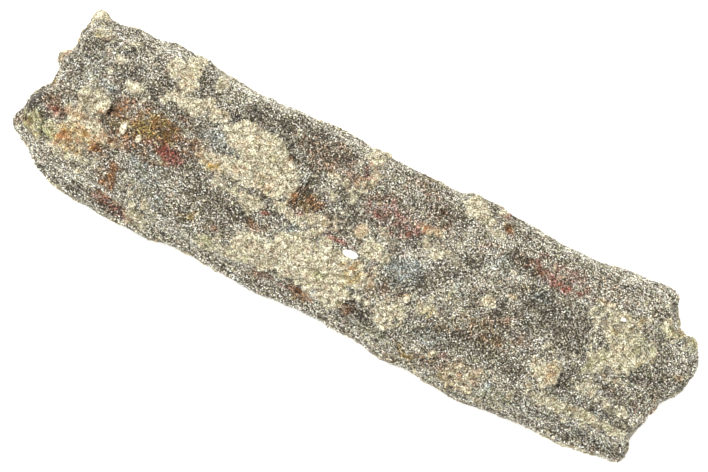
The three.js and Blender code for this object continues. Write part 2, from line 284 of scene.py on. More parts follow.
stainAndShadePatches = {"rust": [
    (-77.4, -9.4, 2.4, 1.4, 0.8, 45), (-79, -12, 1.6, 1.6, 0.4), (-72, -1, 1.6, 2, 0.45),
    (-69.2, -8.8, 2.6, 1.4, 0.9, -15), (-72, -8, 6, 4, 0.3), (-66, -5, 3, 2, 0.45),
    (-67, 5.8, 3, 1.4, 0.6, -5), (-68, 2.5, 2.4, 2.2, 0.9), (-90, -11, 2, 2, 0.5),
    (-61.5, 6.2, 3.4, 2, 0.5, -10), (-56, 4, 6, 3, 0.5, -12), (-63, -3.4, 5.5, 2.2, 0.7),
    (-57, -1, 5, 2.6, 0.55), (-64, 2.5, 2, 1.6, 0.6), (-49, 0, 3.4, 2, 0.6), (-57, -5.5, 4, 1.4, 0.5),
    (-65.5, -4.5, 4, 2, 0.6), (-70, 1, 1, 3, 0.8), (-83.5, -3, 3.4, 2, 0.5, -10), (-84, 1, 2.4, 2, 0.4),
    (-63.2, -11, 1.7, 1.5, 0.95), (-63, -14.4, 2.6, 3, 0.75, 10), (-52, 7.5, 4, 1.6, 0.6),
    (-45, 2.5, 3, 1.6, 0.5), (38.5, -3.5, 3, 2.6, 0.55), (-35, 2.5, 3, 2, 0.35), (-72, 0, 1.6, 2.4, 0.4),
    (8.5, -9, 2, 2, 0.4), (-87, -2.5, 2, 2, 0.4), (-60, -19.5, 5.5, 2, 0.6, -5),
    (-47.3, 3.2, 3.2, 1.6, 0.7, -10), (-44.5, 1, 2, 1, 0.5), (-40.5, 0.2, 2.6, 1.2, 0.4),
    (-19, 3, 1.8, 2.4, 0.65), (-14, 3.6, 3.2, 2.4, 0.55), (-17, 6.3, 1.6, 2.8, 0.5),
    (-26.5, -7.5, 1.6, 1.2, 0.8), (-23.5, -8.3, 3.4, 1.2, 0.6, 10), (-24, -4.5, 1.2, 1, 0.6),
    (-33.3, -13.6, 1.6, 0.9, 0.8), (-38, -8, 4, 1.6, 0.4), (-18, -18.8, 3, 1, 0.85),
    (-8, -18.6, 3.2, 1.2, 0.95, -5), (5, -17, 2.6, 1.5, 0.6), (-11.5, 17, 1.8, 2.2, 0.5),
    (-19, 11.4, 1.6, 0.9, 0.6), (-24, 10.8, 1, 0.8, 0.7), (-7, 13, 2.4, 2, 0.5), (4.5, 13.8, 2, 1, 0.5),
    (13.6, 10.6, 1.1, 1, 0.9), (19, 14, 1.2, 2, 0.5), (16, 14.5, 5, 3, 0.45), (10.8, -8, 1.6, 1.8, 0.5),
    (-16, 16, 9, 4.5, 0.4), (-2, 11.5, 3, 2, 0.5), (60, 17, 12, 3, 0.25), (9, 19, 6, 3, 0.35),
    (30, 13, 6, 3, 0.25), (16, -7.4, 2.6, 0.9, 0.7), (29, -19, 4, 1.4, 0.5), (2.2, -7.2, 1.5, 1.2, 0.6),
    (32.2, 19.6, 1.6, 1, 0.95, 10), (34, 19.4, 1.4, 1, 0.4), (30.5, 3, 1, 0.9, 0.7), (34, -9, 3, 1.8, 0.5),
    (38.4, -7.3, 1.6, 1.6, 0.6), (41.5, -2, 3.4, 2.2, 0.4, -10), (47, -4, 2.6, 1.8, 0.4),
    (42, -6, 4, 2, 0.3), (38, -5.5, 7, 3.2, 0.35, -8), (41, 8, 2.6, 1.2, 0.4), (41, 21.3, 1.4, 0.8, 0.4),
    (41.5, 14, 6, 2.2, 0.45, -5), (72.5, -5.2, 2.8, 0.9, 0.55), (81, -6, 3, 1.2, 0.45),
    (84.5, -5, 1.6, 6, 0.4, 10), (33, -16.5, 2.4, 1.4, 0.35), (55, -13.5, 1.2, 0.8, 0.5)
], "red": [
    (-51.8, -2.2, 3.8, 1.9, 1, -20), (-49.8, -2.4, 2, 1.4, 1), (-82, -5, 2.4, 1.4, 0.9),
    (-60.5, -19.5, 4, 1.6, 0.7, -10), (-56, -21.3, 2, 0.8, 0.7), (-67, 4.5, 2.4, 1.2, 0.3),
    (1.5, 9.6, 5.5, 2.6, 0.45), (11.8, 8.6, 3, 2, 0.5), (6, 8.6, 8, 3.4, 0.5), (3, 7, 2, 1.6, 0.6),
    (-5, -2, 5, 1.2, 0.6), (-16, 0.2, 3, 1.4, 0.4), (-1.5, -1, 2.4, 1, 0.5), (-57, -2.2, 2.2, 1.2, 0.6),
    (2, 12.2, 3.4, 1.6, 0.5), (-7.5, 0.6, 4, 2.6, 0.3), (9.5, 11, 3.4, 1.6, 0.5),
    (-5.7, 16.3, 0.5, 1.9, 0.9, 20), (-24, -4.5, 0.9, 0.8, 0.9), (-20, 15, 3, 0.8, 0.4, 10),
    (42.8, 15.7, 1.7, 1.1, 0.6), (50, 12.6, 3.8, 1.6, 0.75, -10), (48, 12.7, 2.4, 0.9, 0.5, 10),
    (55.5, 13.2, 2.8, 1.6, 0.5, -10), (50, 15.5, 11, 3, 0.4), (44, 17.5, 2.4, 1, 0.5),
    (46.5, 15, 5, 1.6, 0.45), (31.5, 22, 1, 0.8, 0.7), (32, -16, 2, 1.4, 0.45), (41, -16, 3, 1.4, 0.3),
    (10, 2.5, 2, 1, 0.25), (-12, -19.3, 2, 0.7, 0.5), (58, 13.5, 2, 0.8, 0.35), (7, -7, 1.2, 1.4, 0.3),
    (10.8, -7.6, 1, 1, 0.5)
], "ochre": [
    (-62.3, 3.3, 1.3, 0.8, 1.1), (-61.5, 1, 2.8, 2, 0.9), (-57.5, 2.5, 6, 3.6, 0.75), (-66, -1, 4, 3, 0.5),
    (-56, -3.5, 4, 2, 0.35), (-40.2, -13.2, 0.8, 1.1, 1.1), (-42, -13.8, 2.4, 1, 0.7),
    (-40.5, 0, 3.2, 1.6, 0.6), (-48.5, 8.5, 1, 0.6, 0.6), (2, -8, 3, 2.8, 0.5), (-15.5, 3, 3, 3, 0.65),
    (1, -12.5, 2, 1.4, 0.4), (-60, -0.5, 3.4, 1.6, 0.8), (-53.5, -4.4, 2, 1, 0.7),
    (23.5, -20.2, 3.4, 0.9, 0.9, -25), (20.6, -23, 1.6, 0.8, 0.9), (27, -21.6, 2, 0.8, 0.6, -20),
    (33.6, -20.8, 1.8, 0.9, 0.9), (24, -8.2, 2.4, 1.2, 0.5), (28.5, -10.4, 2, 0.9, 0.6, 10),
    (37, -7, 8, 3.6, 0.4, -5), (9, 22.4, 3.4, 0.5, 0.8), (86.3, 15, 2, 1, 0.5, -20),
    (82.5, 15.6, 2, 1, 0.7, 40), (72.5, 14.2, 3, 1.3, 0.45, 35), (87, 5.4, 1, 0.5, 0.7),
    (-88, -10, 2.6, 1.6, 0.5), (-84, -12, 5, 2, 0.35, -15), (-75, -9, 6, 4, 0.5), (35.4, 1.2, 1.2, 1, 0.4),
    (40.3, 4.7, 1.3, 0.7, 0.6), (36, -22, 3, 1, 0.5), (44, -22.5, 3, 1, 0.5), (-7, -19.4, 1.4, 0.8, 0.6),
    (70, 8, 5, 4, 0.25), (-81, 16.6, 1.4, 0.8, 0.4), (-32, 10.5, 7, 2.4, 0.2), (43, 9.5, 2, 1, 0.35)
], "peach": [
    (-56.2, 15.5, 2.4, 4.5, 0.35, 8), (-47, 14, 3.4, 1.6, 0.4), (-77, -4, 4, 3, 0.5),
    (-71, -5, 5, 3.6, 0.42), (-76, -10, 5, 3, 0.35), (-27, 2, 4, 4, 0.3), (-11, 0.6, 3, 1.5, 0.5),
    (-9, 13, 3, 2, 0.5), (-3.6, 15.2, 1.6, 2.6, 0.5), (-1, 2, 2, 2.2, 0.5), (7.5, -6, 1.4, 2.4, 0.6),
    (17.3, -7.6, 1, 1, 0.5), (16.5, 11, 2, 1.6, 0.6), (9.5, 2.8, 2, 1, 0.4), (57.5, -7.5, 2, 2, 0.6),
    (38, -19, 6, 4.4, 0.4), (42, -16, 3, 1.4, 0.4), (62.5, 14, 3, 1.4, 0.5), (62.3, 17.5, 0.9, 2.4, 0.5),
    (29, -16.4, 2, 0.8, 0.5, 25), (34, 19.4, 1.4, 1, 0.5), (29, 14, 1.4, 1.2, 0.4), (-64, 6, 4, 1.4, 0.4),
    (-64, -5.5, 4, 2, 0.4), (-25.5, -8.8, 2, 0.9, 0.5), (41, 8, 2.4, 1.2, 0.5), (45, 17, 6, 2, 0.2),
    (73.5, -3, 2.6, 0.7, 0.4), (1, 14, 3, 1.6, 0.2)
# dark: darker stone, and in places painted shade beside raised lumps, under ledges and along the lower edge
], "dark": [
    (-81, 14, 5, 1.6, 0.5, 35), (-75, 21.5, 5, 1.4, 0.5, 15), (-71.8, 17.4, 1.6, 0.8, 0.8, 30),
    (-72.5, 12, 2.4, 1.6, 0.7), (-68, 12, 3, 2, 0.45), (-85, 9, 2, 4, 0.45), (-82, 6, 2.6, 2, 0.3),
    (-51.6, 18, 2, 3, 0.75), (-49.3, 16.4, 1.6, 1.2, 0.7), (-40.5, 14, 2.4, 1.6, 1),
    (-60, 13.8, 4, 1.4, 0.6), (-70, 9.5, 2, 1.2, 0.7), (-62.5, 10, 2.4, 1.6, 0.7), (-14, 1, 2, 1, 0.5),
    (-9.5, 2.2, 1.6, 1, 0.6), (12.7, 5, 1.6, 1.6, 0.7), (18, -18, 3, 1.4, 0.5), (-50, 13.6, 1.6, 1.2, 0.5),
    (28, -20.5, 3, 1.4, 0.5), (-54, 8.5, 5, 1.5, 0.65, -5), (-49.5, 7.3, 3, 1.4, 0.4),
    (-84, -4, 3.4, 2, 0.35, -10), (-84, -6.3, 3, 0.8, 0.5, -10), (-70, 1, 0.9, 3.2, 0.9),
    (-65, -7.3, 1.4, 0.7, 0.8), (-64.6, -9.6, 0.9, 0.7, 0.8), (-56, 1.8, 1.6, 1.8, 0.6),
    (-50, 0.8, 2, 1.4, 0.6), (-66.6, -1.5, 0.8, 2.4, 0.6), (-60.5, -1.8, 1.8, 1.6, 0.5),
    (-57.5, -5.5, 5, 0.9, 0.5, -5), (-45, -1.6, 2, 1.2, 0.6), (-66, -20.5, 8, 1.6, 0.5),
    (-58, -20.7, 5, 1.4, 0.6), (-79, -20.2, 3, 0.8, 0.5, -20), (-36.5, 16.5, 4, 2, 0.85, -10),
    (-29, 17.5, 3.4, 1.8, 0.75), (-26, 13.8, 2.6, 2, 0.85, -30), (-32, 15.8, 9, 3, 0.6, -8),
    (-23.5, 11.2, 1.6, 1.2, 0.8), (-21, 7.8, 1.6, 1.4, 0.6), (-20, 18, 8, 4, 0.6), (-11.5, 17, 2, 2.4, 0.8),
    (-18.8, 11.4, 1.8, 1, 0.7), (-17, 6.2, 1.7, 3.2, 1), (-17.8, 2.5, 1.6, 1.6, 0.7),
    (-14, 4, 3.6, 2.2, 0.6), (-7.5, 8, 3, 3, 0.4), (-5, 3, 3, 4, 0.5), (-40, 5.6, 2.8, 1.1, 0.35),
    (-36.3, 4.3, 1, 0.7, 0.7), (-30, -7.6, 2.6, 2.2, 0.95), (-35, -6.5, 5, 1.4, 0.7),
    (-42, -6.5, 4, 2, 0.5), (-37, -9, 6, 2.4, 0.45), (-25.5, -1.6, 1.4, 1.2, 0.7), (-22, -3.5, 3, 1.4, 0.5),
    (-26.6, -7.4, 1.6, 1.2, 0.6), (-33, -12.5, 3, 1.4, 0.4), (-43, -14, 2.4, 1.4, 0.4),
    (-48, -15, 3, 3, 0.3), (-16.8, -18.5, 2.2, 0.9, 0.55), (-10, -18.8, 3.2, 1, 0.5, -8),
    (5.6, -15.4, 1.8, 1.6, 1), (8.6, -16.6, 4, 2.4, 0.8, -10), (5, -18.6, 2, 1.6, 0.5),
    (3, 5.8, 2.4, 0.9, 0.6), (-0.5, 6, 2, 0.9, 0.6), (3.5, 14, 3, 1, 0.4), (13.3, 15.2, 2.4, 2, 0.85),
    (19, 16.6, 3.4, 2, 0.75), (8, 8.2, 1.8, 1.6, 0.6), (38.8, 1.4, 1.7, 2, 0.85),
    (55, -17.6, 2.4, 1.4, 0.6), (34, -17.6, 3, 1.4, 0.6), (-36, -17.8, 2, 1.4, 0.6), (-48, 1, 2, 1.6, 0.5),
    (-59.6, -2.6, 1.8, 1.2, 0.7), (16.4, -5.6, 1.4, 1.4, 0.5), (12.5, -6, 1.6, 1.2, 0.35),
    (18.8, -2.4, 2, 2, 0.6), (24, 3.4, 4, 1.6, 0.6), (28.5, 9, 3, 2.6, 0.5), (28, 22, 0.7, 1.4, 0.9, 20),
    (34.8, 22, 2.4, 1.2, 0.7), (36.5, 14.5, 2, 1.8, 0.7), (40, 14, 3, 1.8, 0.75), (45, 12.7, 2.4, 0.9, 0.3),
    (33, 0.3, 1.4, 2.2, 0.5), (30, -10.8, 7, 1, 0.75, -3), (34.5, -9.4, 2.4, 1.8, 0.85),
    (39.5, -9.5, 3, 1.6, 0.75), (25, -12.6, 4, 1.6, 0.45), (31, -13.5, 2, 1.4, 0.5),
    (49, 7.2, 7, 3, 0.6, -5), (47.5, 5.4, 4, 1.8, 0.8), (57, 8.5, 3.8, 2.4, 0.5), (54, 5, 8, 4, 0.5, -5),
    (59, 0.6, 3.6, 2.4, 0.55), (50, 1.5, 5, 2, 0.55), (43, 2, 3, 2, 0.5), (64.5, 0.4, 1.4, 1.6, 0.5),
    (66.8, 3.8, 1.3, 1.4, 0.85, -20), (48.5, -11.4, 3.4, 1.6, 0.75, -10), (61.5, -8, 1.8, 3.4, 0.8),
    (63.5, -5, 1.6, 1.4, 0.5), (50, -6.5, 1.6, 2, 0.4), (69, -11.5, 8, 1.1, 0.25, -1),
    (76, -19, 9, 1, 0.3, 2), (62, -17.8, 4, 0.8, 0.25), (76.5, 17, 1.8, 1.1, 0.75),
    (77, 0.6, 1.8, 1.8, 0.7), (82.5, 2.8, 5, 2, 0.5), (77.8, -9.8, 1.4, 0.9, 0.7), (73, -5.2, 4, 0.8, 0.5),
    (81, -5.8, 3.4, 1.2, 0.5), (89, 4, 1, 5, 0.5), (84.3, -8, 1, 4, 0.4, 8), (-88.6, -4.2, 1.8, 5, 1, -22),
    (38, -12, 4, 1, 0.4), (40, -4, 4, 4, 0.45), (10, 21.5, 8, 1.8, 0.4), (-64, 10.5, 2, 1.4, 0.4),
    (-70, 10, 1.4, 1.4, 0.4), (-33, -0.4, 3.4, 0.9, 0.6, -5), (16, -13, 1.5, 1, 0.6)
], "blue": [
    (-72.2, 6.4, 3, 1, 0.9), (-78, 9.5, 3.4, 4, 0.45), (-49.3, -13.6, 1.5, 1.8, 0.9),
    (-55, -8.5, 6, 3.6, 0.5), (-44, 7, 4.5, 2, 0.6), (-40, 5.6, 2.6, 1, 0.6), (-16.6, -5, 1.8, 1.3, 0.8),
    (-68, 14, 3, 2, 0.3), (14, -2, 5.4, 4, 0.75, 10), (8, 4, 3, 1.8, 0.4), (26, -13.5, 6, 2.2, 0.6),
    (47.3, 8.3, 2.4, 1.2, 0.8), (33.5, 11, 1.6, 3.4, 0.7, -30), (45.3, -18.2, 1.2, 1.1, 0.8),
    (47.5, -7.4, 3.4, 1.4, 0.5, 10), (72, -11.5, 10, 1.2, 0.5), (74, -18.3, 10, 1.6, 0.5),
    (61, -12.3, 3, 0.9, 0.5), (-74, -12.6, 4, 1.4, 0.3), (-61, 22, 2, 1.4, 0.4), (-42, -17.5, 6, 2, 0.35),
    (57, -20, 8, 1.4, 0.4), (28, 1, 2, 2.4, 0.4), (78, 9, 5, 5, 0.25), (35.8, 6.5, 1.6, 1.4, 0.5)
], "green": [
    (-84.5, -9.5, 5.5, 3, 0.7, -15), (-79, -14, 4, 2, 0.3, -20), (-33.8, -17, 2, 1.6, 0.8),
    (-5.5, -11.8, 2.8, 1, 0.9, 20), (-29, 9, 3.4, 1.4, 0.4), (-50, -18.5, 4, 2, 0.4),
    (14, -18.8, 5, 1.6, 0.6), (-26, -20.5, 16, 1.2, 0.4), (48, -20, 6, 2, 0.5), (70, -14.2, 13, 1.3, 0.5),
    (78, -21.5, 8, 1, 0.3, 2), (27.5, -1, 2.6, 2.4, 0.4), (74, 6, 6, 6, 0.35), (66.5, 0, 1.6, 5, 0.5, -25),
    (81, 14.8, 4, 1.4, 0.6), (85.5, 15.3, 3, 1.4, 0.9, -20), (84, 11, 5, 4, 0.3), (50, 19, 10, 2.4, 0.3),
    (-8, 4.5, 4, 3, 0.25), (-5.5, 8.5, 2.6, 3, 0.35), (40, -12.5, 3, 1.4, 0.4), (-37, 19.6, 8, 1, 0.3)
], "pale": [
    (68, -3.5, 2.4, 1.6, 0.5), (-48.5, 7.6, 2, 2.4, 0.5), (10.5, -13, 1.6, 2.4, 0.4),
    (-5.5, -1.6, 3, 1.4, 0.5), (-78, 18, 5, 1.8, 0.7), (-24, 18, 4, 1.6, 0.4), (-66.5, 4.5, 2.4, 1.2, 0.5),
    (35.5, 12.5, 2, 2, 0.5), (41, 9, 2.4, 1.2, 0.5), (52, 12.2, 6, 1.3, 0.6, -3), (38, 11.6, 3, 1.2, 0.6),
    (15, 3, 4, 2.2, 0.75), (20, 9, 2.4, 1.4, 0.5), (-60, 15.4, 2, 1.2, 0.6), (-40, 7, 2, 1.4, 0.5),
    (31.5, -15, 2.4, 1.4, 0.5), (62, -16.2, 5, 1.2, 0.5), (74, -16.8, 7, 1, 0.4), (-3, 8.5, 2.4, 3, 0.4),
    (8, 2.6, 4.6, 1.1, 0.7, -25), (85, 2, 2, 2, 0.5), (-78, 9, 3, 4, 0.35), (14.5, 10.6, 3, 1.4, 0.7),
    (-42.5, 6, 3, 2, 0.6), (-70, 5.4, 2.4, 1.2, 0.8), (47.5, 7.5, 1.6, 1.3, 0.7), (57.5, -2, 2.4, 2, 0.5),
    (30, -4.8, 2.6, 1.8, 0.8), (77, -9.8, 3.6, 1.4, 0.5), (86, 11, 3, 2.4, 0.3), (-60, -7, 4, 1.6, 0.4),
    (-8, -19.8, 2.4, 1, 0.7), (45, -19, 3, 2, 0.5), (12, -15, 2, 1.6, 0.4), (-66.9, 9.3, 1.5, 1, 0.5),
    (33.5, 9.5, 2, 0.8, 0.8, 15), (33.5, 13.2, 1.3, 4.6, 0.75, 33), (68, 12.1, 1.6, 1, 1),
    (14, -1, 3.4, 2, 0.45), (-72.2, 6.6, 2.4, 0.6, 0.4), (-5.5, -11.8, 2.4, 0.8, 0.5, 20),
    (47.5, -7.4, 3, 1.2, 0.4), (26, -13.5, 5, 2, 0.3), (-54, -8, 6, 3, 0.3), (-46.5, 1, 0.9, 0.7, 0.9),
    (-86.8, -4, 0.4, 1.6, 0.8), (28, 0.5, 2, 2, 0.3), (47, 0.3, 1.6, 0.5, 0.7),
    (-73.8, 13.6, 0.8, 0.9, 0.8), (-61.2, 21.8, 2, 1.2, 0.3)
]}
knobs = [  # raised lumps, the fifth value their height in mm
    (-73.3, 1.8, 2.4, 3.1, 1.4), (-77.1, 1.4, 1.5, 2.5, 0.9), (-68, 2.6, 2.2, 1.9, 0.8),
    (-72.2, 6.3, 3, 1, 0.7), (-83, 21.4, 1.9, 1.8, 0.8), (-66.9, 9.3, 2, 1.3, 0.7),
    (-72.3, 18.8, 2.4, 0.8, 0.7, 25), (-60.3, 17.8, 2.6, 2.2, 0.6), (-55.5, 20, 2.2, 3, 0.6),
    (-49.3, -13.6, 1.4, 1.7, 0.6), (14.8, -12.3, 4.6, 4.2, 1.1), (22.5, 20.3, 3.6, 3, 0.8),
    (17.3, -7.6, 1.1, 1.1, 0.9), (13.4, 10.6, 1.7, 1.4, 0.8), (35.4, 1.1, 1.4, 1.4, 0.8),
    (23, -7.8, 3.4, 1.6, 0.7), (57, -8, 3, 3.8, 0.7), (6.6, -12.6, 1.1, 0.9, 0.6), (40.5, -19.5, 3, 3, 0.6),
    (29, -16.4, 2.1, 0.8, 0.6, 25), (-5, 20.5, 2.4, 2.8, 0.7, -15), (71.5, 6, 3.5, 3.5, 0.4),
    (12, -3, 3, 2, 0.4, 20), (-27.5, 6.5, 7, 5, 0.8, -12), (-33, 11, 6.5, 3, 0.5), (-12, -10, 8, 5, 0.5),
    (-20, -13.5, 6, 3.4, 0.4), (68, 12.1, 1.7, 1.1, 0.7), (-40.2, -13.2, 0.8, 1, 0.5),
    (-54, -19.5, 1.5, 2.5, 0.6), (-46, 14, 3, 1.6, 0.5),
]
hollows = [  # the fifth value is their depth in mm
    (-17, 6, 1.7, 3.2, 1.4), (5.6, -15.6, 1.8, 1.5, 1.3), (-30, -7.6, 2.4, 2, 1.1),
    (-24, -7, 3.4, 2.2, 0.9, 10), (-10, -18.6, 3, 1, 0.7), (-26, 13.5, 2.6, 2, 0.8, -30),
    (-70, 1, 0.7, 3.2, 0.9), (-72, 17.3, 1.8, 0.7, 0.9, 30), (-52, 18.5, 1.7, 2.5, 0.7),
    (-54, 8.6, 5, 1.2, 0.6, -5), (-11.5, 17, 1.6, 2, 0.7), (-14, 3.6, 3, 2, 0.8),
    (28, 22, 0.6, 1.4, 0.9, 20), (61, 16.6, 0.45, 1.6, 1.0, -25), (-5.7, 16.3, 0.5, 1.8, 0.7, 20),
    (34.5, -9.4, 2.2, 1.6, 0.8), (48, 5.5, 4, 2, 0.5), (61.3, -8, 1.6, 3.2, 0.8),
    (66.8, 3.8, 1.2, 1.3, 0.7, -20), (40, 14, 3, 1.6, 0.6), (76.5, 17, 1.6, 1, 0.5),
    (72, -11.6, 10, 1, 0.5), (75, -16.6, 9, 0.5, 0.6, 1), (30, -10.6, 6, 0.8, 0.7), (8.6, -17, 3.4, 2, 0.7),
    (-22, -3.4, 2.6, 1, 0.6), (77, 0.6, 1.6, 1.6, 0.5), (18.8, -2.4, 1.8, 1.8, 0.4),
    (-65, -7.3, 1.2, 0.6, 0.6),
]
smoothPatches = [(-88.4, -4.2, 2, 5.4, 1, -22), (-86, -10.5, 5, 3.4, 0.5, -15)]
crownReach = 1.011  # the patches are laid out as the eye sees them, and the crown is nearer
wanders = [(5, 0.8), (1.8, 0.7)]  # how the patches' edges wander: size of the bends and how far, in mm
wanderSeeds = (101, 131)
octaveSteps = (1, 2)  # each octave of a noise is half as strong as the last and twice as fine
lumpSlope = (0.1, 0.75)  # where a lump starts to fall and where it ends, in lump sizes
crackSlope = (0.02, 0.22)  # the same for a crack, from its middle


def ragged(points, size, seed, octaves=3):  # noise of about -1 to 1, its lumps this big in mm
    shift = Vector((seed, -seed, 2 * seed))
    return np.array([noise.fractal(Vector(p) / size + shift, *octaveSteps, octaves) for p in points])


def asSeen(points):
    # places along and across as the eye sees them, wandering so that no patch is an even oval
    aim = np.array(studio["aim"][:2]) / mm
    seen = aim + (points[:, :2] - aim) * crownReach
    for size, reach in wanders:
        wander = [ragged(points, size, seed, octaves=2) for seed in wanderSeeds]
        seen = seen + reach * np.stack(wander, 1)
    return seen


def patchAmount(seen, patches, soft):  # 0 to each patch's strength, half of it at the edge
    most = np.zeros(len(seen))
    for along, across, length, width, strength, *turn in patches:
        angle = math.radians(turn[0] if turn else 0)
        cosine, sine = math.cos(angle), math.sin(angle)
        x, y = seen[:, 0] - along, seen[:, 1] - across
        u, v = (x * cosine + y * sine) / length, (y * cosine - x * sine) / width
        inside = (1 - np.hypot(u, v)) * min(length, width)
        most = np.maximum(most, strength * smoothStep(inside, -soft, soft))
    return most


def lumps(points, size):
    # rounded cells, 1 at each middle to 0 at the foot, and how near a place is to a crack between cells
    near = np.array([noise.voronoi(Vector(p) / size)[0][:2] for p in points])
    return 1 - smoothStep(near[:, 0], *lumpSlope), 1 - smoothStep(near[:, 1] - near[:, 0], *crackSlope)


crusting = {  # sizes in mm, noises as (share, size, seed)
    "edge": 0.9,  # half the width of a patch's soft edge
    "crumbs": 0.3,  # crust that lies everywhere but on the dark patches
    "sideCrust": 0.32,  # on the flanks
    "side": (0.9, 12, 21),
    "fine": (0.34, 1.3, 3),
    "coarse": (0.14, 4, 8),
    "takes": (0.47, 0.59),  # the amounts between which crust comes in
    "lump": 1.9,
    "crackLoss": 0.2,
}
stainAndShadeLook = {
    "darkEdge": 1.2,
    "edge": 1.4,
    "blotches": (0.5, 2.5, 40),  # this seed is the first stain's, and each next one's is one more
    "side": (0.9, 9, 60),
    "sideFrom": 0.1,
}


def uneven(points, share, size, seed):
    return share * ragged(points, size, seed)


def crustOn(points, seen, high, dark, look):
    # how much crust each place has, how high its lump stands there, and how near a crack is
    crumbs = look["crumbs"] - look["crumbs"] * dark
    side = look["sideCrust"] + uneven(points, *look["side"])
    amount = np.maximum(patchAmount(seen, crustPatches, look["edge"]), crumbs) * high + side * (1 - high)
    amount = amount + uneven(points, *look["fine"]) + uneven(points, *look["coarse"])
    lump, crack = lumps(points, look["lump"])
    return smoothStep(amount, *look["takes"]) * (1 - look["crackLoss"] * crack), lump, crack


def stainAndShadeOver(piece, points, seen, high, look):
    share, size, seed = look["blotches"]
    sideShare, sideSize, sideSeed = look["side"]
    for number, (kind, patches) in enumerate(stainAndShadePatches.items()):
        amount = patchAmount(seen, patches, look["edge"]) * (1 + share * ragged(points, size, seed + number))
        side = sideShare * (ragged(points, sideSize, sideSeed + number) - look["sideFrom"])
        paint(piece, kind, np.clip(amount * high + side * (1 - high), 0, 1))


stone = {  # heights are in mm above the floor, from none of a thing to all of it
    "weld": 0.001 * mm,
    "voxel": 0.58 * mm,
    "inset": 0.22 * mm,  # room for the grains
    "spread": (1.0045, 0.997, 1),
    "tips": [  # where the outline is pulled: along, across, reach, and how far along and across, in mm
        (-91, -11.9, 5, -2, -0.1), (-84.2, 22.2, 4.5, -1.3, 1.2), (90, 7, 5, -0.1, 0),
        (83, -19, 4, 0.8, -0.5), (-89, -4, 6, -1.2, 0), (-86.5, 8, 4, -0.6, 0), (-86.9, 3.4, 3, -1.1, 0),
        (-91.5, -11.6, 2, -1, 0), (83, -10, 4, 0.9, 0), (82.8, 16.5, 2.8, -1.6, -1.6),
        (83.2, 16, 1.8, -0.3, -1.6), (77.5, 23.5, 3, 1.3, 0.2), (86.2, 14.6, 2.6, 0.4, 1.5),
        (-81, -18.5, 4, -0.6, -0.6)],
    "tipHeight": 14,  # where a pull is strongest
    "tipFlat": 0.3,  # what a mm up or down counts against a mm aside
    "rubbed": (0.5, 2.5),  # the underside is level below this and weathered above
    "top": (9, 17),  # the patches belong to the top and fade down the sides
    "aboveFlank": (15, 19),
    "flankCalm": 0.5,  # how much less rough it is there
    "smoothEdge": 1,
    "smoothCalm": 0.8,
    "crustCalm": 0.4,
    "holes": 0.45,
    "holeNoise": (1.5, 77, 2),  # size in mm, seed, octaves
    "holesInDark": 0.4,
    "holesTake": (0.42, 0.75),
    "crustFoot": 0.3,  # height of the crust between its lumps, and what a lump adds
    "crustLump": 0.7,
    "crustRise": 1.5 * mm,
    "crustLevel": 0.35,  # the share of that rise that is held back
    "fullHeight": 1.5,  # of a knob or a hollow at full weight, in mm
    "reliefEdge": 0.5,
    "layers": (0.3 * mm, 1.1 * mm, 9),  # depth, size across, times longer along the grain
    "chips": (0.5 * mm, 3.4 * mm, 1.6),
    "grain": (0.45 * mm, 2.0 * mm, 3),
    "pits": (0.35 * mm, 0.9 * mm, 1),
}


def roughen(piece, relief, group, kind, seed, **settings):  # as far in as out
    depth, size, stretch = relief
    texture = bpy.data.textures.new("relief", kind)
    texture.noise_scale = size
    for name, value in settings.items():
        setattr(texture, name, value)
    space = bpy.data.objects.new("grainSpace", None)
    bpy.context.scene.collection.objects.link(space)
    space.location = (seed * mm, 0, 0)
    space.scale = (stretch, 1, 1)
    bpy.context.view_layer.update()
    shapeWith(piece, "DISPLACE", texture=texture, texture_coords="OBJECT", texture_coords_object=space,
              strength=2 * depth, mid_level=0.5, vertex_group=group)
    bpy.data.objects.remove(space)
    bpy.data.textures.remove(texture)


def remeshStone(look):
    piece = copyOf(frame["nodes"]["petrified_wood"], "limbStone")
    editAll()
    bpy.ops.mesh.remove_doubles(threshold=look["weld"])
    endEdit()
    shapeWith(piece, "REMESH", mode="VOXEL", voxel_size=look["voxel"])
    shapeWith(piece, "DISPLACE", strength=-look["inset"], mid_level=0)
    points = readPlaces(piece.data.vertices) / mm * look["spread"]
    for along, across, reach, dx, dy in look["tips"]:
        aside = np.hypot(points[:, 0] - along, points[:, 1] - across)
        gap = np.hypot(aside, look["tipFlat"] * (points[:, 2] - look["tipHeight"]))
        pull = np.clip(1 - gap / reach, 0, 1)[:, None]
        points += pull * np.array((dx, dy, 0))
    piece.data.vertices.foreach_set("co", (points * mm).ravel())
    print("stone remeshed:", len(points), "points")
    return piece, points


